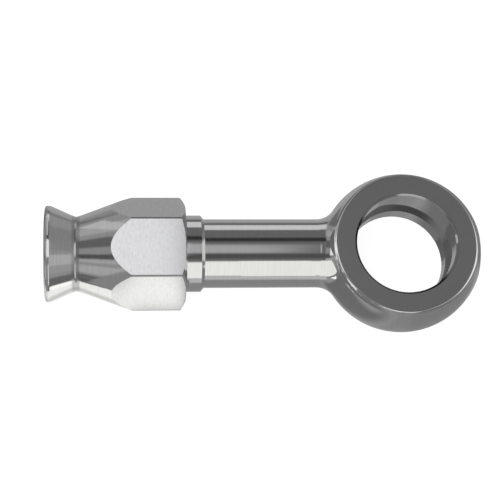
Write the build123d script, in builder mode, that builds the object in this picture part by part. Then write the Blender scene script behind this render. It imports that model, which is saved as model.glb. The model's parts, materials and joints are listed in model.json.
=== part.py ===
from build123d import *
import os
from math import radians, sqrt, tan

# Straight banjo hose end for a small braided hose, in three pieces: the banjo body, the olive and the
# hose socket. Sizes are in millimetres. The origin is the centre of the eye, +Z is the axis of its
# bore, and the stem runs towards -X. A station is a distance from the eye's centre along the stem.

# Eye: the ball is turned to a slightly larger radius than its own, and its end is faced to a low crown
ball_d = 18.0
ball_profile_r = 9.25
ball_end = 8.82
end_crown_d = 6.2
end_crown_edge_radius = 4
eye_width = 8.2
bore_d = 11.2
bore_rim_bevel = 0.2
face_edge_radius = 0.2
oil_groove_width = 3.5
oil_groove_depth = 0.4
oil_passage_d = 2.2

# Stem and collar
stem_d = 7.73
stem_length = 22.5
neck_radius = 2.5
collar_step = 0.43
collar_length = 1.97
collar_bevel_length = 0.35

# Thread, 5/16 inch with 24 turns to the inch: both halves are plain at the pitch diameter
thread_d = 7.94
thread_pitch = 1.058
thread_length = 5.35
thread_clearance = 0.05
thread_end_bevel = 0.53
undercut_d = 6.35
undercut_length = 0.7

# Nipple and its seat cone
seat_d = 5.1
seat_angle = 30
nipple_d = 3.3
nipple_recess = 2.5
nipple_tip_bevel = 0.35

# Olive
seat_gap = 0.08
olive_lift = 0.15
olive_length = 5.0
olive_flange_length = 0.8
olive_edge_break = 0.2
olive_taper_length = 1.7
olive_clearance = 0.15
nipple_clearance = 0.1
throat_length = 0.45
liner_bore_d = 4.8
olive_tip_wall = 0.2

# Hose socket
socket_gap = 0.1
hexagon_across_flats = 11.11
hexagon_length = 5.85
hexagon_turn = -7.9
hexagon_edge_radius = 0.18
hexagon_face_inset = 0.16
hexagon_bevel_angle = 30
hexagon_bevel_crown = 0.03
nose_taper = 20
nose_crown = 0.01
waist_d = 8.27
waist_radius = 0.4
bell_d = 10.79
bell_taper = 24
lip_length = 0.6
lip_radius = 0.3
hose_bore_d = 6.2
braid_room = 2.2
braid_thickness = 0.35
mouth_wall = 0.7
mouth_taper = 28
mouth_radius = 0.8
socket_thread_bevel = 0.4

# Radii and stations that follow from these sizes
ball_r = ball_d / 2
bore_r = bore_d / 2
half_width = eye_width / 2
stem_r = stem_d / 2
profile_offset = ball_profile_r - ball_r
end_crown_r = end_crown_d / 2
end_crown_start = sqrt(ball_profile_r**2 - (end_crown_r + profile_offset) ** 2)
neck = sqrt(ball_profile_r**2 - (stem_r + profile_offset) ** 2)
collar_r = stem_r + collar_step
collar_end = stem_length + collar_length
vee_height = thread_pitch * sqrt(3) / 2
pitch_r = thread_d / 2 - vee_height * 3 / 8
undercut_r = undercut_d / 2
thread_start = collar_end + undercut_length
thread_end = collar_end + undercut_length + thread_length
seat_r = seat_d / 2
nipple_r = nipple_d / 2
seat_slope = tan(radians(seat_angle))
seat_end = thread_end + (seat_r - nipple_r) / seat_slope

socket_start = collar_end + socket_gap
hexagon_r = hexagon_across_flats / sqrt(3)
hexagon_face_r = hexagon_across_flats / 2 - hexagon_face_inset
turned_r = hexagon_r + hexagon_edge_radius
hexagon_end = socket_start + hexagon_length
nose_slope = tan(radians(nose_taper))
waist_r = waist_d / 2
waist = hexagon_end + (hexagon_r - waist_r) / nose_slope
bell_r = bell_d / 2
lip_start = waist + (bell_r - waist_r) / tan(radians(bell_taper))
socket_end = lip_start + lip_length
hose_bore_r = hose_bore_d / 2
mouth_r = bell_r - mouth_wall
throat = socket_end - (mouth_r - hose_bore_r) / tan(radians(mouth_taper))
nipple_end = socket_end - nipple_recess

olive_start = thread_end + olive_lift
olive_end = olive_start + olive_length
olive_chamber_r = thread_d / 2 - vee_height * 5 / 8
olive_flange_r = olive_chamber_r - olive_clearance
olive_sleeve_r = hose_bore_r - braid_thickness
liner_bore_r = liner_bore_d / 2
throat_r = nipple_r + nipple_clearance
olive_mouth_r = seat_r - (olive_lift - seat_gap) * seat_slope
olive_throat = olive_start + (olive_mouth_r - throat_r) / seat_slope
chamber_end = olive_start + olive_flange_length + braid_room
hose_bore_start = chamber_end + (olive_chamber_r - hose_bore_r) / seat_slope
socket_thread_end = thread_end + thread_clearance

# The turning plane: across is the station, up is the radius
turning = Plane(origin=(0, 0, 0), x_dir=(-1, 0, 0), z_dir=(0, 0, -1))


def cross_plane(station):
    """The plane square to the stem at a station, facing the hose."""
    return Plane(origin=(-station, 0, 0), x_dir=(0, -1, 0), z_dir=(-1, 0, 0))


def corner(outline, station, radius):
    """The corner of a turned outline that lies at this station and radius."""
    return outline.vertices().sort_by_distance((station, radius, 0))[0]


with BuildPart() as banjo_body:
    with BuildSketch(turning) as body_outline:
        with BuildLine():
            TangentArc((-ball_end, 0), (-end_crown_start, end_crown_r), tangent=(0, 1))
            ThreePointArc((-end_crown_start, end_crown_r), (0, ball_r), (neck, stem_r))
            Polyline(
                (neck, stem_r),
                (stem_length, stem_r),
                (stem_length + collar_bevel_length, collar_r),
                (collar_end, collar_r),
                (collar_end, undercut_r),
                (thread_start, undercut_r),
                (thread_start, pitch_r),
                (thread_end, pitch_r),
                (thread_end, seat_r),
                (seat_end, nipple_r),
                (nipple_end, nipple_r),
                (nipple_end, 0),
                (-ball_end, 0),
            )
        make_face()
        fillet(corner(body_outline, -end_crown_start, end_crown_r), radius=end_crown_edge_radius)
        fillet(corner(body_outline, neck, stem_r), radius=neck_radius)
        chamfer(corner(body_outline, thread_start, pitch_r), length=pitch_r - undercut_r)
        chamfer(corner(body_outline, thread_end, pitch_r), length=thread_end_bevel)
        chamfer(corner(body_outline, nipple_end, nipple_r), length=nipple_tip_bevel)
    revolve(axis=Axis.X)

    # The two flats of the eye take the tops off the ball, and stop short of the collar
    for side in (1, -1):
        with BuildSketch(Plane.XY.offset(side * half_width)):
            Circle(ball_r + neck_radius)
        extrude(amount=side * ball_r, mode=Mode.SUBTRACT)
    level_faces = banjo_body.faces().filter_by(Axis.Z).group_by(Axis.Z)
    rim_wall = sqrt(ball_r**2 - half_width**2) - bore_r - bore_rim_bevel
    for flats in (level_faces[0], level_faces[-1]):
        fillet(flats.edges(), radius=min(face_edge_radius, rim_wall / 2))

    # The bore, the oil groove round its middle and the passage that feeds the hose
    Cylinder(radius=bore_r, height=ball_d, mode=Mode.SUBTRACT)
    rims = banjo_body.edges().filter_by(GeomType.CIRCLE).filter_by(
        lambda edge: abs(edge.radius - bore_r) < 0.001 and abs(edge.center().Z) > half_width / 2)
    chamfer(rims, length=bore_rim_bevel)
    Cylinder(radius=bore_r + oil_groove_depth, height=oil_groove_width, mode=Mode.SUBTRACT)
    with BuildSketch(cross_plane(nipple_end)):
        Circle(oil_passage_d / 2)
    extrude(amount=-nipple_end, mode=Mode.SUBTRACT)

with BuildPart() as olive:
    with BuildSketch(turning) as olive_outline:
        flange_end = olive_start + olive_flange_length
        with BuildLine():
            Polyline(
                (olive_start, olive_mouth_r),
                (olive_start, olive_flange_r),
                (flange_end, olive_flange_r),
                (flange_end, olive_sleeve_r),
                (olive_end - olive_taper_length, olive_sleeve_r),
                (olive_end, liner_bore_r + olive_tip_wall),
                (olive_end, liner_bore_r),
                (olive_throat + throat_length, liner_bore_r),
                (olive_throat + throat_length, throat_r),
                (olive_throat, throat_r),
                close=True,
            )
        make_face()
        chamfer(corner(olive_outline, olive_start, olive_flange_r), length=olive_edge_break)
        chamfer(corner(olive_outline, flange_end, olive_flange_r), length=olive_edge_break)
    revolve(axis=Axis.X)

with BuildPart() as hose_socket:
    with BuildSketch(turning) as socket_outline:
        bevel_length = (turned_r - hexagon_face_r) * tan(radians(hexagon_bevel_angle))
        taper_start = hexagon_end - (turned_r - hexagon_r) / nose_slope
        socket_thread_r = pitch_r + thread_clearance
        bevel_end = socket_start + bevel_length
        with BuildLine():
            SagittaArc((socket_start, hexagon_face_r), (bevel_end, turned_r), hexagon_bevel_crown)
            Line((bevel_end, turned_r), (taper_start, turned_r))
            SagittaArc((taper_start, turned_r), (waist, waist_r), nose_crown)
            Polyline(
                (waist, waist_r),
                (lip_start, bell_r),
                (socket_end, bell_r),
                (socket_end, mouth_r),
                (throat, hose_bore_r),
                (hose_bore_start, hose_bore_r),
                (chamber_end, olive_chamber_r),
                (socket_thread_end, olive_chamber_r),
                (socket_thread_end, socket_thread_r),
                (socket_start, socket_thread_r),
                (socket_start, hexagon_face_r),
            )
        make_face()
        fillet(corner(socket_outline, waist, waist_r), radius=waist_radius)
        fillet(corner(socket_outline, lip_start, bell_r), radius=lip_radius)
        fillet(corner(socket_outline, socket_end, bell_r), radius=lip_radius)
        fillet(corner(socket_outline, socket_end, mouth_r), radius=lip_radius / 2)
        fillet(corner(socket_outline, throat, hose_bore_r), radius=mouth_radius)
        chamfer(corner(socket_outline, socket_start, socket_thread_r), length=socket_thread_bevel)
    revolve(axis=Axis.X)

    # The hexagon bar that the socket is turned from
    with BuildSketch(cross_plane(socket_start)) as bar:
        RegularPolygon(hexagon_across_flats / 2, 6, major_radius=False, rotation=hexagon_turn)
        fillet(bar.vertices(), radius=hexagon_edge_radius)
    extrude(amount=socket_end - socket_start, mode=Mode.INTERSECT)

banjo_body.part.label = "banjo_body"
olive.part.label = "olive"
hose_socket.part.label = "hose_socket"

os.makedirs("parts", exist_ok=True)
export_step(banjo_body.part, "parts/banjo_body.step")
export_step(olive.part, "parts/olive.step")
export_step(hose_socket.part, "parts/hose_socket.step")

print(f"socket from {socket_start:.3f} to {socket_end:.3f}, waist {waist:.3f}, throat {throat:.3f}")
print(f"nipple ends at {nipple_end:.3f}, olive from {olive_start:.3f} to {olive_end:.3f}")
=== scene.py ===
import bpy
import bmesh
import json
from math import cos, pi, radians, sin, sqrt
from mathutils import Euler, Matrix, Vector

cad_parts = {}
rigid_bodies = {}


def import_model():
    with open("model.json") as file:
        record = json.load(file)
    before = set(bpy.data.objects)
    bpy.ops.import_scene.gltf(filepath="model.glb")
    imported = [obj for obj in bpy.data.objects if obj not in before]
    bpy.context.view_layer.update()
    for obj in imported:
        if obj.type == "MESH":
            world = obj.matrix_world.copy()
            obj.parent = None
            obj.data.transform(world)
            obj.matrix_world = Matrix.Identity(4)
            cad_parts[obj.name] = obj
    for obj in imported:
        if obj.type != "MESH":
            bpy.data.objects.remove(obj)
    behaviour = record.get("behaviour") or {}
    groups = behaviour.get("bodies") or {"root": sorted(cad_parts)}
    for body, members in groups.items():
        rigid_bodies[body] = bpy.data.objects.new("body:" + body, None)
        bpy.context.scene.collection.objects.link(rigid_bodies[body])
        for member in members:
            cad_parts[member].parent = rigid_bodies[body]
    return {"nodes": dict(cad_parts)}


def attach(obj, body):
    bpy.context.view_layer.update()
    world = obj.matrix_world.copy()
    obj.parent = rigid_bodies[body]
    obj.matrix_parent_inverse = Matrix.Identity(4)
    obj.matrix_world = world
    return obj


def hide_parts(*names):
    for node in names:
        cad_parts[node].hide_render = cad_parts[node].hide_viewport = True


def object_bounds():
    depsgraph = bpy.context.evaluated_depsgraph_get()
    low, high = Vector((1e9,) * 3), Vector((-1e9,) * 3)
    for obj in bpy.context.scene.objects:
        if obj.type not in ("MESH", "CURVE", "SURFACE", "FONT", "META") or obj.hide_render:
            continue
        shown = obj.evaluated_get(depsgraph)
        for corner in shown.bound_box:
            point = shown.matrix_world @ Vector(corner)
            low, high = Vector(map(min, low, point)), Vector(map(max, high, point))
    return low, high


# Straight banjo hose end, dressed in steel and brass. Everything is in metres, in the CAD's frame:
# +Z is the axis of the eye's bore and the stem runs towards -X. A station is a distance from the
# eye's centre along the stem.

for startup in list(bpy.data.objects):
    bpy.data.objects.remove(startup)
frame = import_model()
cad_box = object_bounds()
body_node = frame["nodes"]["banjo_body"]
olive_node = frame["nodes"]["olive"]
socket_node = frame["nodes"]["hose_socket"]

MM = 0.001
TO_DEGREES = 180 / pi

# The thread, 5/16 inch with 24 turns to the inch, which the CAD gives as two plain cylinders
PITCH = 1.058 * MM
THREAD_D = 7.94 * MM
VEE_HEIGHT = PITCH * sqrt(3) / 2
PITCH_R = THREAD_D / 2 - VEE_HEIGHT * 3 / 8
CREST_BREAK = 0.04 * MM
ROOT_CLEARANCE = 0.03 * MM
THREAD_PLAY = 0.03 * MM
MALE_ROOT_R = THREAD_D / 2 - VEE_HEIGHT * 3 / 4
MALE_CREST_R = THREAD_D / 2 - CREST_BREAK
FEMALE_ROOT_R = THREAD_D / 2 + ROOT_CLEARANCE
FEMALE_CREST_R = THREAD_D / 2 - VEE_HEIGHT * 5 / 8

# Where each thread begins and ends, its bevels there and the hidden back of its sleeve
MALE_START, MALE_END = 25.17 * MM, 30.52 * MM
MALE_START_R = 3.175 * MM
MALE_END_R = 3.096 * MM
MALE_BACK_R = 2.9 * MM
FEMALE_START, FEMALE_END = 24.57 * MM, 30.57 * MM
FEMALE_START_R = 4.076 * MM
FEMALE_BACK_R = 4.2 * MM
# Each sleeve's open end stops this far short of the CAD's face, so that they don't share a plane
END_GAP = 0.004 * MM
STEPS_AROUND = 144
SHARP_ANGLE = radians(25)
WELD_DISTANCE = 0.0002 * MM
SLIVER_LENGTH = 0.0001 * MM

# Where the CAD's plain thread cylinders and their bevels lie, and the radii they are moved to
PLAIN_THREAD_X = (-31 * MM, -24.6 * MM)
MALE_PLAIN_R = (3.2 * MM, 3.65 * MM)
MALE_CLEARED_R = 3.05 * MM
FEMALE_PLAIN_R = (3.65 * MM, 4.05 * MM)
FEMALE_CLEARED_R = 4.25 * MM

# How far back from its tip the ball's end is built again
CROWN_DEPTH = 0.02 * MM

# The rounded edge of the eye's flats
SPOT_FACE_R = 7.78 * MM
SPOT_EDGE_WIDTH = 0.52 * MM
SPOT_EDGE_DROP = 0.28 * MM

# Colours
STEEL_DARK = (0.55, 0.551, 0.558)
BODY_STEEL_LIGHT = (0.67, 0.67, 0.672)
SOCKET_STEEL_LIGHT = (0.69, 0.69, 0.692)
CUT_STEEL_DARK = (0.55, 0.55, 0.558)
CUT_STEEL_LIGHT = (0.63, 0.63, 0.632)
BRASS_DARK = (0.74, 0.55, 0.26)
BRASS_LIGHT = (0.82, 0.65, 0.34)
# Painted shade: the colour that the bore's rims, the hexagon's edges, the waist and the lip are
# darkened towards
SHADED_STEEL = (0.12, 0.12, 0.125)
WHITE = (1.0, 1.0, 1.0)

# How fine each grain is along X, Y and Z, and each kind of clouds, in waves to the metre
BODY_RINGS = (9000.0, 260.0, 260.0)
BODY_FINE_RINGS = (26000.0, 500.0, 500.0)
SOCKET_RINGS = (8000.0, 240.0, 240.0)
SOCKET_FINE_RINGS = (24000.0, 500.0, 500.0)
GROUND_MARKS = (5200.0, 1900.0, 1900.0)
CUTTING_MARKS = (14000.0, 500.0, 500.0)
BRASS_RINGS = (12000.0, 300.0, 300.0)
POLISH_CLOUDS = 420.0
THREAD_CLOUDS = 900.0
BRASS_CLOUDS = 700.0

# The detail and roughness of each kind of noise
RING_NOISE = (3.0, 0.6)
FINE_RING_NOISE = (2.0, 0.5)
GROUND_NOISE = (4.0, 0.65)
CLOUD_NOISE = (3.0, 0.55)
NOISE_MEAN = 0.5

# How deep the grain of each metal is
BODY_RELIEF = 0.0006 * MM
SOCKET_RELIEF = 0.0007 * MM
THREAD_RELIEF = 0.0008 * MM
BRASS_RELIEF = 0.0009 * MM

# Edges of the finishes' zones and of their painted shade, each a place and the width it fades over
LEVEL_FACE = (0.995, 0.006)
BORE_RIM_R = (5.84 * MM, 0.04 * MM)
BORE_RIM_Z = (3.86 * MM, 0.04 * MM)
SQUARE_TO_STEM = (0.08, 0.06)
FLATS_X = (-38.2 * MM, 0.2 * MM)
FLATS_R = (5.25 * MM, 0.2 * MM)
ARRIS_R = (6.345 * MM, 0.03 * MM)
WAIST_X = -36.68 * MM
WAIST_REACH = (0.42 * MM, 0.3 * MM)
LIP_X = (-39.72 * MM, 0.25 * MM)

# What polished metal sees in the tent round the part. Each strip or flag has the angles about the
# stem's axis between which it lies (0 is +Y, 90 is straight up, 180 is -Y), the angles towards +X
# between which it lies, each with the softness of its edges, and its brightness. A later one lies
# over those before it. The angles about the stem run over one turn from straight down.
FULL_TURN = 360
STRAIGHT_DOWN = -90
TENT_LEVEL = 0.39
STRIPS = [
    # The end towards the hose
    ((22, 46, 6), (-60, -17, 8), 0.52),
    ((60, 87, 8), (-60, -17, 8), 0.17),
    ((90, 102, 5), (-60, -17, 8), 0.37),
    ((122, 133, 5), (-60, -17, 8), 0.54),
    ((142, 168, 8), (-60, -17, 8), 0.56),
    ((174, 186, 6), (-60, -12, 8), 0.17),
    ((-55, 0, 6), (-60, -23, 6), 0.21),
    ((206, 280, 24), (-90, -8, 14), 0.225),
    ((188, 218, 14), (-60, -14, 18), 0.43),
    ((-95, -60, 8), (-90, -12, 8), 0.15),
    # The end towards the eye
    ((-80, -30, 8), (30, 60, 8), 0.22),
    ((24, 95, 10), (22, 60, 8), 0.32),
    ((108, 142, 6), (22, 60, 8), 0.59),
    ((142, 164, 6), (22, 60, 8), 0.45),
    ((176, 202, 6), (14, 60, 8), 0.19),
    ((205, 280, 8), (10, 60, 8), 0.3),
    # The middle of the tent, along the stem
    ((-60, -24, 8), (-20, 22, 8), 0.47),
    ((20, 129, 6), (-17, 24, 10), 0.19),
    ((-18, -7, 6), (-17, 22, 10), 0.18),
    ((-4.5, 19, 5), (-17, 18, 10), 0.86),
    ((51.5, 65, 9), (-20, 20, 10), 0.045),
    ((76, 104, 12), (-3, 7, 3), 0.57),
    ((132, 186, 5), (-20, 20, 10), 1.27),
    ((187, 204, 10), (-17, 18, 10), 0.7),
    ((206, 262, 6), (1, 12, 6), 0.34),
    # The camera and what stands behind it
    ((107, 122, 6), (-60, 20, 8), 0.115),
    # The bright ends of the tent
    ((20, 160, 20), (54, 90, 4), 1.3),
    ((45, 76, 8), (-90, -50, 6), 1.3),
]

# The light on dull surfaces, and the tent's tint, which is a little warm where the tent is bright
SOFT_LIGHT = 0.8
TENT_GREEN = 0.998
TENT_BLUE = 1.003
WARM_LEVEL = (0.95, 0.5)
WARM_BLUE_LOSS = 0.045

# The floor as the camera and dull surfaces see it
FLOOR_HALF_SIDE_MM = 900
FLOOR_GAP_MM = 0.01
FLOOR_PAPER = (0.82, 0.82, 0.82)
SHADOW_PAPER = (0.12, 0.12, 0.12)
FLOOR_GLOW = 0.92

# Painted light: a bright card painted into the floor paper under the socket, which only polished
# metal sees, with painted shade in its band under the part. The edges of the card, of the notch in
# it and of its bands, each a place and the width over which it fades
CARD_END_X = (-24 * MM, 1.5 * MM)
CARD_NEAR_Y = (-90 * MM, 20 * MM)
CARD_FAR_Y = (8.5 * MM, 3 * MM)
NOTCH_X = (-30.5 * MM, 2 * MM)
NOTCH_Y = (-14.5 * MM, 3 * MM)
HEXAGON_X = (-31 * MM, 2 * MM)
BEVEL_X = (-27 * MM, 3 * MM)
PAINTED_SHADE_BAND_Y = (-9.5 * MM, 4 * MM)
SIDE_BAND_Y = (-6 * MM, 2 * MM)
NOSE_LIT_Y = (-22.2 * MM, 2 * MM)
HEXAGON_LIT_Y = (-28 * MM, 2 * MM)

# The painted card's brightness, what each band takes or adds (the band under the part is painted
# shade), its brightness where unlit, and its tint
CARD_LEVEL = 1.33
PAINTED_SHADE_LOSS = 0.5
SIDE_BAND_GAIN = 0.2
HEXAGON_GAIN = 0.21
BEVEL_GAIN = 0.04
UNLIT_LEVEL = 0.16
CARD_GREEN = 0.996
CARD_BLUE = 0.965

# Cards that only polished metal sees: corners in millimetres, brightness and tint
CARDS = {
    "overhead_card": (((-41.5, -9, 22), (-23.9, -9, 22), (-23.9, 6, 22), (-41.5, 6, 22)),
                      1.2, (0.985, 0.985, 1.0)),
    # The near end of the tent's bright strip, which the rounded neck mirrors
    "neck_card": (((-18, -8, 1.5), (-9.5, -8, 1.5), (-9.5, -8, 10.5), (-18, -8, 10.5)),
                  1.25, (1.0, 0.998, 0.96)),
    # What the rounded lip of the bell mirrors, above and below its bright spot
    "upper_lip_card": (((-42.5, 12, 6), (-38.6, 12, 6), (-38.6, 12, 26), (-42.5, 12, 26)),
                       0.67, WHITE),
    "lower_lip_card": (((-42.5, -16, -2), (-38.6, -16, -2), (-38.6, -16, 27), (-42.5, -16, 27)),
                       0.34, WHITE),
    "top_lip_card": (((-46, -16, 27), (-33, -16, 27), (-33, -2.4, 27), (-46, -2.4, 27)),
                     0.34, WHITE),
    # Keeps the bright card under the socket out of the neck's lowest folds
    "neck_flag": (((-24, -14, -4.2), (-24, -7.8, -4.2), (-24, -7.8, 0.9), (-24, -14, 0.9)),
                  0.27, WHITE),
}

LAMP_PLACE = (-0.12, -0.05, 0.3)
LAMP_TARGET = (-0.01, 0, 0)
LAMP_SIDE = 0.2
LAMP_WATTS = 1.2

# The camera, as the photo's perspective gives it, with its angles in degrees
CAMERA_PLACE = (-0.0318336, -0.0437646, 0.1532584)
CAMERA_ANGLES = (16.156343, -5.002615, -1.576129)
SENSOR_WIDTH_MM = 36
LENS_MM = 102.07
NEAR_CLIP, FAR_CLIP = 0.01, 5


# Shader arithmetic

class Value:
    """A number that varies over a surface; plain arithmetic on it adds Math nodes."""

    def __init__(self, recipe, socket):
        self.recipe = recipe
        self.socket = socket

    def __add__(self, other):
        return self.recipe.math("ADD", self, other)

    def __radd__(self, other):
        return self.recipe.math("ADD", other, self)

    def __sub__(self, other):
        return self.recipe.math("SUBTRACT", self, other)

    def __rsub__(self, other):
        return self.recipe.math("SUBTRACT", other, self)

    def __mul__(self, other):
        return self.recipe.math("MULTIPLY", self, other)

    def __rmul__(self, other):
        return self.recipe.math("MULTIPLY", other, self)

    def __pow__(self, other):
        return self.recipe.math("POWER", self, other)

    def __rpow__(self, other):
        return self.recipe.math("POWER", other, self)

    def __abs__(self):
        return self.recipe.math("ABSOLUTE", self)

    def below(self, edge, softness):
        """1 well under the edge, 0 well over it."""
        return self.recipe.node("ShaderNodeMapRange", {"interpolation_type": "SMOOTHSTEP"}, {
            "Value": self, "From Min": edge - softness / 2, "From Max": edge + softness / 2,
            "To Min": 1, "To Max": 0})[0]

    def above(self, edge, softness):
        """0 well under the edge, 1 well over it."""
        return 1 - self.below(edge, softness)


class Recipe:
    """Builds one node tree."""

    def __init__(self, tree):
        self.tree = tree
        tree.nodes.clear()

    def node(self, kind, settings=None, inputs=None):
        """A node of this kind: its settings first, then its sockets. Returns its outputs."""
        made = self.tree.nodes.new(kind)
        for key, setting in (settings or {}).items():
            setattr(made, key, setting)
        for name, term in (inputs or {}).items():
            socket = made.inputs[name]
            if isinstance(term, Value):
                self.tree.links.new(term.socket, socket)
            elif isinstance(term, tuple) and len(term) < len(socket.default_value):
                socket.default_value = (*term, 1)
            else:
                socket.default_value = term
        return [Value(self, out) for out in made.outputs if out.enabled]

    def output(self, kind, name):
        """One named output of a node that has no inputs to set."""
        return next(value for value in self.node(kind) if value.socket.name == name)

    def math(self, operation, *terms):
        """A Math node on these terms."""
        return self.node("ShaderNodeMath", {"operation": operation}, dict(enumerate(terms)))[0]

    def split(self, vector):
        """The three parts of a vector."""
        return self.node("ShaderNodeSeparateXYZ", {}, {"Vector": vector})

    def noise(self, vector, scale, detail, roughness):
        """Smooth noise, about zero."""
        return self.node("ShaderNodeTexNoise", {"noise_dimensions": "3D"}, {
            "Vector": vector, "Scale": scale, "Detail": detail,
            "Roughness": roughness})[0] - NOISE_MEAN

    def grain(self, vector, waves, detail, roughness):
        """Noise, about zero, that is finer along one direction than along another."""
        stretched = self.node("ShaderNodeVectorMath", {"operation": "MULTIPLY"},
                              {0: vector, 1: waves})[0]
        return self.noise(stretched, 1.0, detail, roughness)

    def mix(self, factor, first, second):
        """A blend of two colours."""
        return self.node("ShaderNodeMix", {"data_type": "RGBA"}, {
            "Factor": factor, "A": first, "B": second})[0]

    def vary(self, variation, dark, light):
        """A blend of two colours, half way between them where the variation is zero."""
        return self.mix(0.5 + variation, dark, light)

    def tinted(self, level, green, blue):
        """A brightness as a colour, with its shares of green and blue."""
        return self.node("ShaderNodeCombineColor", {"mode": "RGB"}, {
            "Red": level, "Green": level * green, "Blue": level * blue})[0]

    def emission(self, colour, strength):
        """The glow of a surface."""
        return self.node("ShaderNodeEmission", {}, {"Color": colour, "Strength": strength})[0]

    def background(self, colour, strength):
        """The glow of the world."""
        return self.node("ShaderNodeBackground", {}, {"Color": colour, "Strength": strength})[0]

    def diffuse(self, colour):
        """A dull surface."""
        return self.node("ShaderNodeBsdfDiffuse", {}, {"Color": colour})[0]

    def blend(self, factor, first, second):
        """A blend of two shaders."""
        return self.node("ShaderNodeMixShader", {}, {0: factor, 1: first, 2: second})[0]


def new_material(name):
    """An empty material and the recipe that fills it."""
    material = bpy.data.materials.new(name)
    material.use_nodes = True
    return material, Recipe(material.node_tree)


# Finishes and their painted shade

def metal(r, colour, roughness, height, relief):
    """A bare metal surface with this colour, roughness and fine relief."""
    normal = r.node("ShaderNodeBump", {}, {
        "Strength": 1.0, "Distance": relief, "Height": height})[0]
    shader = r.node("ShaderNodeBsdfPrincipled", {}, {
        "Base Color": colour, "Metallic": 1.0, "Roughness": roughness, "Normal": normal})[0]
    r.node("ShaderNodeOutputMaterial", {}, {"Surface": shader})


def turned_rings(r, place, waves, fine_waves):
    """The rings that turning leaves round the stem, about zero."""
    coarse_share, fine_share = 0.6, 0.4
    coarse = r.grain(place, waves, *RING_NOISE)
    fine = r.grain(place, fine_waves, *FINE_RING_NOISE)
    return coarse * coarse_share + fine * fine_share


def polished_body_steel():
    """Bright stainless steel with the faint rings of turning round the stem and ball."""
    own_roughness, ring_roughness, cloud_roughness, flat_roughness = 0.085, 0.05, 0.03, 0.03
    ring_tone, cloud_tone, rim_shade, cloud_height = 1.5, 0.3, 0.65, 0.4
    material, r = new_material("polished_body_steel")
    place = r.output("ShaderNodeTexCoord", "Object")
    facing = r.split(r.output("ShaderNodeTexCoord", "Normal"))
    x, y, z = r.split(place)
    flat = abs(facing[2]).above(*LEVEL_FACE)
    rings = turned_rings(r, place, BODY_RINGS, BODY_FINE_RINGS) * (1 - flat)
    clouds = r.noise(place, POLISH_CLOUDS, *CLOUD_NOISE)
    roughness = (own_roughness + rings * ring_roughness + clouds * cloud_roughness
                 + flat * flat_roughness)
    tone = r.vary(rings * ring_tone + clouds * cloud_tone, STEEL_DARK, BODY_STEEL_LIGHT)
    # Painted shade: the bevelled rims of the bore are darkened towards the shaded steel colour
    from_bore = (x * x + y * y) ** 0.5
    rim = from_bore.below(*BORE_RIM_R) * abs(z).above(*BORE_RIM_Z)
    tone = r.mix(rim * rim_shade, tone, SHADED_STEEL)
    # The flats are spot-faced round the bore: their rounded edge is a full circle, at the neck too
    edge = from_bore.above(SPOT_FACE_R + SPOT_EDGE_WIDTH / 2, SPOT_EDGE_WIDTH)
    height = (rings + clouds * cloud_height) * BODY_RELIEF - edge * SPOT_EDGE_DROP
    metal(r, tone, roughness, height, relief=1.0)
    return material


def socket_steel():
    """Stainless steel of the socket: turned rings on nose and bell, ground marks on the flats."""
    own_roughness, ring_roughness, cloud_roughness = 0.1, 0.06, 0.03
    flat_roughness, mark_roughness, waist_roughness, lip_roughness = 0.13, 0.12, 0.14, 0.2
    ring_tone, cloud_tone, mark_tone = 1.7, 0.3, 1.8
    arris_shade, waist_shade, lip_shade = 0.7, 0.4, 0.25
    cloud_height, mark_height, ground_away = 0.4, 1.6, 0.6
    material, r = new_material("socket_steel")
    place = r.output("ShaderNodeTexCoord", "Object")
    facing = r.split(r.output("ShaderNodeTexCoord", "Normal"))
    x, y, z = r.split(place)
    radius = (y * y + z * z) ** 0.5
    flats = abs(facing[0]).below(*SQUARE_TO_STEM) * x.above(*FLATS_X) * radius.above(*FLATS_R)
    rings = turned_rings(r, place, SOCKET_RINGS, SOCKET_FINE_RINGS) * (1 - flats * ground_away)
    marks = r.grain(place, GROUND_MARKS, *GROUND_NOISE) * flats
    clouds = r.noise(place, POLISH_CLOUDS, *CLOUD_NOISE)
    roughness = (own_roughness + rings * ring_roughness + clouds * cloud_roughness
                 + flats * flat_roughness + marks * mark_roughness)
    tone = r.vary(rings * ring_tone + clouds * cloud_tone + marks * mark_tone,
                  STEEL_DARK, SOCKET_STEEL_LIGHT)
    # Painted shade: the hexagon's edges, the bottom of the waist and the lip are darkened towards
    # the shaded steel colour
    arris = radius.above(*ARRIS_R)
    waist = abs(x - WAIST_X).below(*WAIST_REACH)
    lip = x.below(*LIP_X)
    tone = r.mix(arris * arris_shade + waist * waist_shade + lip * lip_shade, tone, SHADED_STEEL)
    roughness = roughness + waist * waist_roughness + lip * lip_roughness
    height = rings + clouds * cloud_height + marks * mark_height
    metal(r, tone, roughness, height, SOCKET_RELIEF)
    return material


def thread_steel():
    """Cut threads: duller than the polished outside, with marks along the flanks."""
    own_roughness, mark_roughness, cloud_roughness = 0.2, 0.12, 0.05
    mark_tone, cloud_tone = 0.7, 0.3
    material, r = new_material("thread_steel")
    place = r.output("ShaderNodeTexCoord", "Object")
    marks = r.grain(place, CUTTING_MARKS, *RING_NOISE)
    clouds = r.noise(place, THREAD_CLOUDS, *CLOUD_NOISE)
    roughness = own_roughness + marks * mark_roughness + clouds * cloud_roughness
    tone = r.vary(marks * mark_tone + clouds * cloud_tone, CUT_STEEL_DARK, CUT_STEEL_LIGHT)
    metal(r, tone, roughness, marks, THREAD_RELIEF)
    return material


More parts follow.
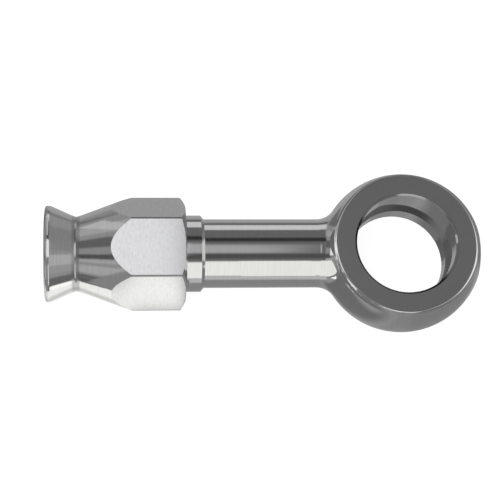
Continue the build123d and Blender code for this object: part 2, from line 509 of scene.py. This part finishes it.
def turned_brass():
    """The olive's brass, with turning rings and clouds of tone."""
    own_roughness, ring_roughness, cloud_roughness = 0.18, 0.1, 0.06
    ring_tone, cloud_tone = 0.5, 0.5
    material, r = new_material("turned_brass")
    place = r.output("ShaderNodeTexCoord", "Object")
    rings = r.grain(place, BRASS_RINGS, *RING_NOISE)
    clouds = r.noise(place, BRASS_CLOUDS, *CLOUD_NOISE)
    roughness = own_roughness + rings * ring_roughness + clouds * cloud_roughness
    tone = r.vary(rings * ring_tone + clouds * cloud_tone, BRASS_DARK, BRASS_LIGHT)
    metal(r, tone, roughness, rings, BRASS_RELIEF)
    return material


# Threads and the CAD pieces that carry them

def helix_offset(turn, station):
    """Distance along the stem from the middle of the nearest male thread crest."""
    return (station - PITCH * turn + PITCH / 2) % PITCH - PITCH / 2


def male_radius(turn, station):
    """Radius of the male thread, which runs out in a bevel at both ends."""
    ridge = PITCH_R + (PITCH / 4 - abs(helix_offset(turn, station))) * sqrt(3)
    ridge = min(max(ridge, MALE_ROOT_R), MALE_CREST_R)
    return min(ridge, MALE_START_R + station - MALE_START, MALE_END_R + MALE_END - station)


def female_radius(turn, station):
    """Radius of the female thread, which opens in a bevel at the socket's face."""
    groove = PITCH_R + (PITCH / 4 + THREAD_PLAY - abs(helix_offset(turn, station))) * sqrt(3)
    groove = min(max(groove, FEMALE_CREST_R), FEMALE_ROOT_R)
    return max(groove, FEMALE_START_R - (station - FEMALE_START))


def profile_steps(inner_r, outer_r, play):
    """Offsets from a crest's middle, over one pitch, where the thread's outline has its points."""
    top = PITCH / 4 + play - (outer_r - PITCH_R) / sqrt(3)
    bottom = PITCH / 4 + play - (inner_r - PITCH_R) / sqrt(3)
    third = (bottom - top) / 3
    half = [-top, 0, top, top + third, top + 2 * third, bottom, PITCH / 2]
    return half + [PITCH - bottom, PITCH - top - 2 * third, PITCH - top - third]


def round_stem(station, radius, angle):
    """A point at this station and this far from the stem's axis."""
    return Vector((-station, -radius * cos(angle), radius * sin(angle)))


def thread_sleeve(name, start, end, radius_at, back_r, steps):
    """A closed sleeve with a real right-handed helical thread on one side and a plain back."""
    # The helix has pitches to spare at both ends, which the sleeve's start and end cut off
    first_pitch = int(start / PITCH) - 1
    pitches = int((end - start) / PITCH) + 3
    offsets = [(first_pitch + k) * PITCH + step for k in range(pitches) for step in steps]
    turns = [j / STEPS_AROUND for j in range(STEPS_AROUND + 1)]
    stations = [[min(max(offset + PITCH * turn, start), end) for offset in offsets]
                for turn in turns]
    shape = bmesh.new()
    columns = [[shape.verts.new(round_stem(station, radius_at(turn, station), 2 * pi * turn))
                for station in along] for turn, along in zip(turns[:-1], stations)]
    backs = [[shape.verts.new(round_stem(station, back_r, 2 * pi * turn))
              for station in (start, end)] for turn in turns[:-1]]
    for j in range(STEPS_AROUND):
        here, beyond = columns[j], columns[(j + 1) % STEPS_AROUND]
        # After one turn the helix joins the line that starts a pitch further on
        shift = len(steps) if j == STEPS_AROUND - 1 else 0
        for i in range(len(offsets) - 1 - shift):
            if stations[j][i] < end and stations[j + 1][i + 1] > start:
                shape.faces.new((here[i], here[i + 1], beyond[i + 1 + shift], beyond[i + shift]))
        back, back_beyond = backs[j], backs[(j + 1) % STEPS_AROUND]
        shape.faces.new((back[0], back_beyond[0], back_beyond[1], back[1]))
        shape.faces.new((here[0], back[0], back_beyond[0], beyond[0]))
        shape.faces.new((here[-1], beyond[-1], back_beyond[1], back[1]))
    bmesh.ops.remove_doubles(shape, verts=shape.verts, dist=WELD_DISTANCE)
    bmesh.ops.dissolve_degenerate(shape, edges=shape.edges, dist=SLIVER_LENGTH)
    bmesh.ops.recalc_face_normals(shape, faces=shape.faces)
    mesh = bpy.data.meshes.new(name)
    shape.to_mesh(mesh)
    shape.free()
    mesh.shade_smooth()
    mesh.set_sharp_from_angle(angle=SHARP_ANGLE)
    return mesh


def cleared_for_thread(node, plain_r, cleared_r):
    """A copy of a CAD mesh, its plain thread moved out of the way of the real one."""
    mesh = node.data.copy()
    for vertex in mesh.vertices:
        x, y, z = vertex.co
        radius = sqrt(y * y + z * z)
        along_thread = PLAIN_THREAD_X[0] < x < PLAIN_THREAD_X[1]
        if along_thread and plain_r[0] < radius < plain_r[1]:
            vertex.co = (x, y * cleared_r / radius, z * cleared_r / radius)
    return mesh


def mend_crown(mesh):
    """Build the middle of the ball's end again: the CAD mesh folds over itself at its pole."""
    shape = bmesh.new()
    shape.from_mesh(mesh)
    tip = max(vertex.co.x for vertex in shape.verts)

    def in_crown(part):
        return all(vertex.co.x > tip - CROWN_DEPTH for vertex in part.verts)

    middle = [vertex for vertex in shape.verts if vertex.co.x > tip - CROWN_DEPTH]
    bmesh.ops.remove_doubles(shape, verts=middle, dist=WELD_DISTANCE)
    folded = [face for face in shape.faces if in_crown(face)]
    bmesh.ops.delete(shape, geom=folded, context="FACES")
    rim = [edge for edge in shape.edges if edge.is_boundary and in_crown(edge)]
    filled = bmesh.ops.holes_fill(shape, edges=rim, sides=0)["faces"]
    fan = bmesh.ops.poke(shape, faces=filled)
    fan["verts"][0].co = (tip, 0, 0)
    for face in fan["faces"]:
        face.smooth = True
    shape.to_mesh(mesh)
    shape.free()


def place_piece(name, mesh, body, material, replaced=None):
    """A mesh as a piece that moves with its body, in place of a CAD node where one is named."""
    mesh.materials.clear()
    mesh.materials.append(material)
    piece = bpy.data.objects.new(name, mesh)
    bpy.context.scene.collection.objects.link(piece)
    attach(piece, body)
    if replaced:
        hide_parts(replaced)


body_finish = polished_body_steel()
socket_finish = socket_steel()
thread_finish = thread_steel()
brass_finish = turned_brass()

male_mesh = thread_sleeve("male_thread", MALE_START, MALE_END - END_GAP, male_radius,
                          MALE_BACK_R, profile_steps(MALE_ROOT_R, MALE_CREST_R, 0))
female_mesh = thread_sleeve("female_thread", FEMALE_START + END_GAP, FEMALE_END, female_radius,
                            FEMALE_BACK_R,
                            profile_steps(FEMALE_CREST_R, FEMALE_ROOT_R, THREAD_PLAY))
body_mesh = cleared_for_thread(body_node, MALE_PLAIN_R, MALE_CLEARED_R)
mend_crown(body_mesh)
socket_mesh = cleared_for_thread(socket_node, FEMALE_PLAIN_R, FEMALE_CLEARED_R)

place_piece("male_thread", male_mesh, "banjo_body", thread_finish)
place_piece("female_thread", female_mesh, "hose_socket", thread_finish)
place_piece("banjo_body_steel", body_mesh, "banjo_body", body_finish,
            replaced="banjo_body")
place_piece("hose_socket_steel", socket_mesh, "hose_socket", socket_finish,
            replaced="hose_socket")
olive_node.data.materials.clear()
olive_node.data.materials.append(brass_finish)


# Studio

def tent(r):
    """Brightness of the tent in the direction of a reflected ray."""
    x, y, z = r.split(r.output("ShaderNodeTexCoord", "Generated"))
    from_down = r.math("ARCTAN2", z, y) * TO_DEGREES - STRAIGHT_DOWN
    around = r.math("FLOORED_MODULO", from_down, FULL_TURN) + STRAIGHT_DOWN
    lean = r.math("ARCSINE", x) * TO_DEGREES
    level = TENT_LEVEL
    for (start, end, soft), (low, high, lean_soft), brightness in STRIPS:
        mask = around.above(start, soft) * around.below(end, soft)
        mask = mask * lean.above(low, lean_soft) * lean.below(high, lean_soft)
        level = level + (brightness - level) * mask
    return level


def studio_world():
    """White to the camera, an even light for dull surfaces and the tent for reflections."""
    world = bpy.data.worlds.new("studio")
    bpy.context.scene.world = world
    world.use_nodes = True
    world.cycles.sampling_method = "NONE"
    r = Recipe(world.node_tree)
    seen = r.output("ShaderNodeLightPath", "Is Camera Ray")
    mirrored = r.output("ShaderNodeLightPath", "Is Glossy Ray")
    level = tent(r)
    blue = TENT_BLUE - level.above(*WARM_LEVEL) * WARM_BLUE_LOSS
    reflected = r.background(r.tinted(level, TENT_GREEN, blue), 1.0)
    unseen = r.blend(mirrored, r.background(WHITE, SOFT_LIGHT), reflected)
    both = r.blend(seen, unseen, r.background(WHITE, 1.0))
    r.node("ShaderNodeOutputWorld", {}, {"Surface": both})


def card_brightness(x, y):
    """Painted light on the floor under the socket, darker in a painted shade under the part."""
    under_hexagon = x.above(*HEXAGON_X)
    level = (CARD_LEVEL - PAINTED_SHADE_LOSS * y.above(*PAINTED_SHADE_BAND_Y)
             + SIDE_BAND_GAIN * y.above(*SIDE_BAND_Y) + HEXAGON_GAIN * under_hexagon
             + BEVEL_GAIN * x.above(*BEVEL_X))
    lit = (y.above(*NOSE_LIT_Y) * (1 - under_hexagon)
           + y.above(*HEXAGON_LIT_Y) * under_hexagon)
    return UNLIT_LEVEL + (level - UNLIT_LEVEL) * lit


def floor_paper():
    """White paper with a faint shadow to the camera; metal sees the light painted on it or the
    tent.
    """
    material, r = new_material("floor_paper")
    x, y = r.split(r.output("ShaderNodeTexCoord", "Object"))[:2]
    seen = r.output("ShaderNodeLightPath", "Is Camera Ray")
    mirrored = r.output("ShaderNodeLightPath", "Is Glossy Ray")
    # Painted light: the card is a glow in the floor paper for reflected rays only, with painted
    # shade under the part
    card = x.below(*CARD_END_X) * y.above(*CARD_NEAR_Y) * y.below(*CARD_FAR_Y)
    card = card * (1 - x.above(*NOTCH_X) * y.above(*NOTCH_Y))
    tone = r.tinted(card_brightness(x, y), CARD_GREEN, CARD_BLUE)
    open_floor = r.node("ShaderNodeBsdfTransparent")[0]
    reflected = r.blend(card, open_floor, r.emission(tone, 1.0))
    unseen = r.blend(mirrored, r.diffuse(FLOOR_PAPER), reflected)
    shown = r.node("ShaderNodeAddShader", {}, {
        0: r.diffuse(SHADOW_PAPER), 1: r.emission(WHITE, FLOOR_GLOW)})[0]
    r.node("ShaderNodeOutputMaterial", {}, {"Surface": r.blend(seen, unseen, shown)})
    material.cycles.emission_sampling = "NONE"
    return material


def glowing_card(name, level, tint):
    """The plain glow of a card."""
    material, r = new_material(name)
    r.node("ShaderNodeOutputMaterial", {}, {"Surface": r.emission(tint, level)})
    material.cycles.emission_sampling = "NONE"
    return material


def sheet(name, corners, material):
    """A flat part of the studio, with its four corners in millimetres."""
    mesh = bpy.data.meshes.new(name)
    mesh.from_pydata([tuple(c * MM for c in corner) for corner in corners], [], [(0, 1, 2, 3)])
    mesh.materials.append(material)
    made = bpy.data.objects.new(name, mesh)
    bpy.context.scene.collection.objects.link(made)
    return made


def floor():
    """The floor, just under the part's lowest point."""
    level = cad_box[0].z / MM - FLOOR_GAP_MM
    sides = ((-1, -1), (1, -1), (1, 1), (-1, 1))
    corners = [(x * FLOOR_HALF_SIDE_MM, y * FLOOR_HALF_SIDE_MM, level) for x, y in sides]
    sheet("floor", corners, floor_paper())


def reflector(name, corners, level, tint):
    """A card that only polished metal sees."""
    card = sheet(name, corners, glowing_card(name, level, tint))
    card.visible_camera = False
    card.visible_diffuse = False
    card.visible_shadow = False
    card.visible_transmission = False


def key_lamp():
    """A soft lamp that lights the floor, left out of the metal's reflections, where the tent is."""
    data = bpy.data.lights.new("key_lamp", "AREA")
    data.shape = "SQUARE"
    data.size = LAMP_SIDE
    data.energy = LAMP_WATTS
    lamp = bpy.data.objects.new("key_lamp", data)
    bpy.context.scene.collection.objects.link(lamp)
    lamp.location = LAMP_PLACE
    lamp.rotation_mode = "QUATERNION"
    lamp.rotation_quaternion = (Vector(LAMP_TARGET) - Vector(LAMP_PLACE)).to_track_quat("-Z", "Y")
    lamp.visible_glossy = False


def photo_camera():
    """The camera at the photo's place and angle."""
    data = bpy.data.cameras.new("camera")
    data.sensor_width = SENSOR_WIDTH_MM
    data.lens = LENS_MM
    data.clip_start = NEAR_CLIP
    data.clip_end = FAR_CLIP
    camera = bpy.data.objects.new("camera", data)
    bpy.context.scene.collection.objects.link(camera)
    turn = Euler([radians(angle) for angle in CAMERA_ANGLES])
    camera.matrix_world = Matrix.LocRotScale(Vector(CAMERA_PLACE), turn, None)
    bpy.context.scene.camera = camera


studio_world()
floor()
for card_name, (card_corners, card_level, card_tint) in CARDS.items():
    reflector(card_name, card_corners, card_level, card_tint)
key_lamp()
photo_camera()
bpy.context.scene.view_settings.view_transform = "Standard"
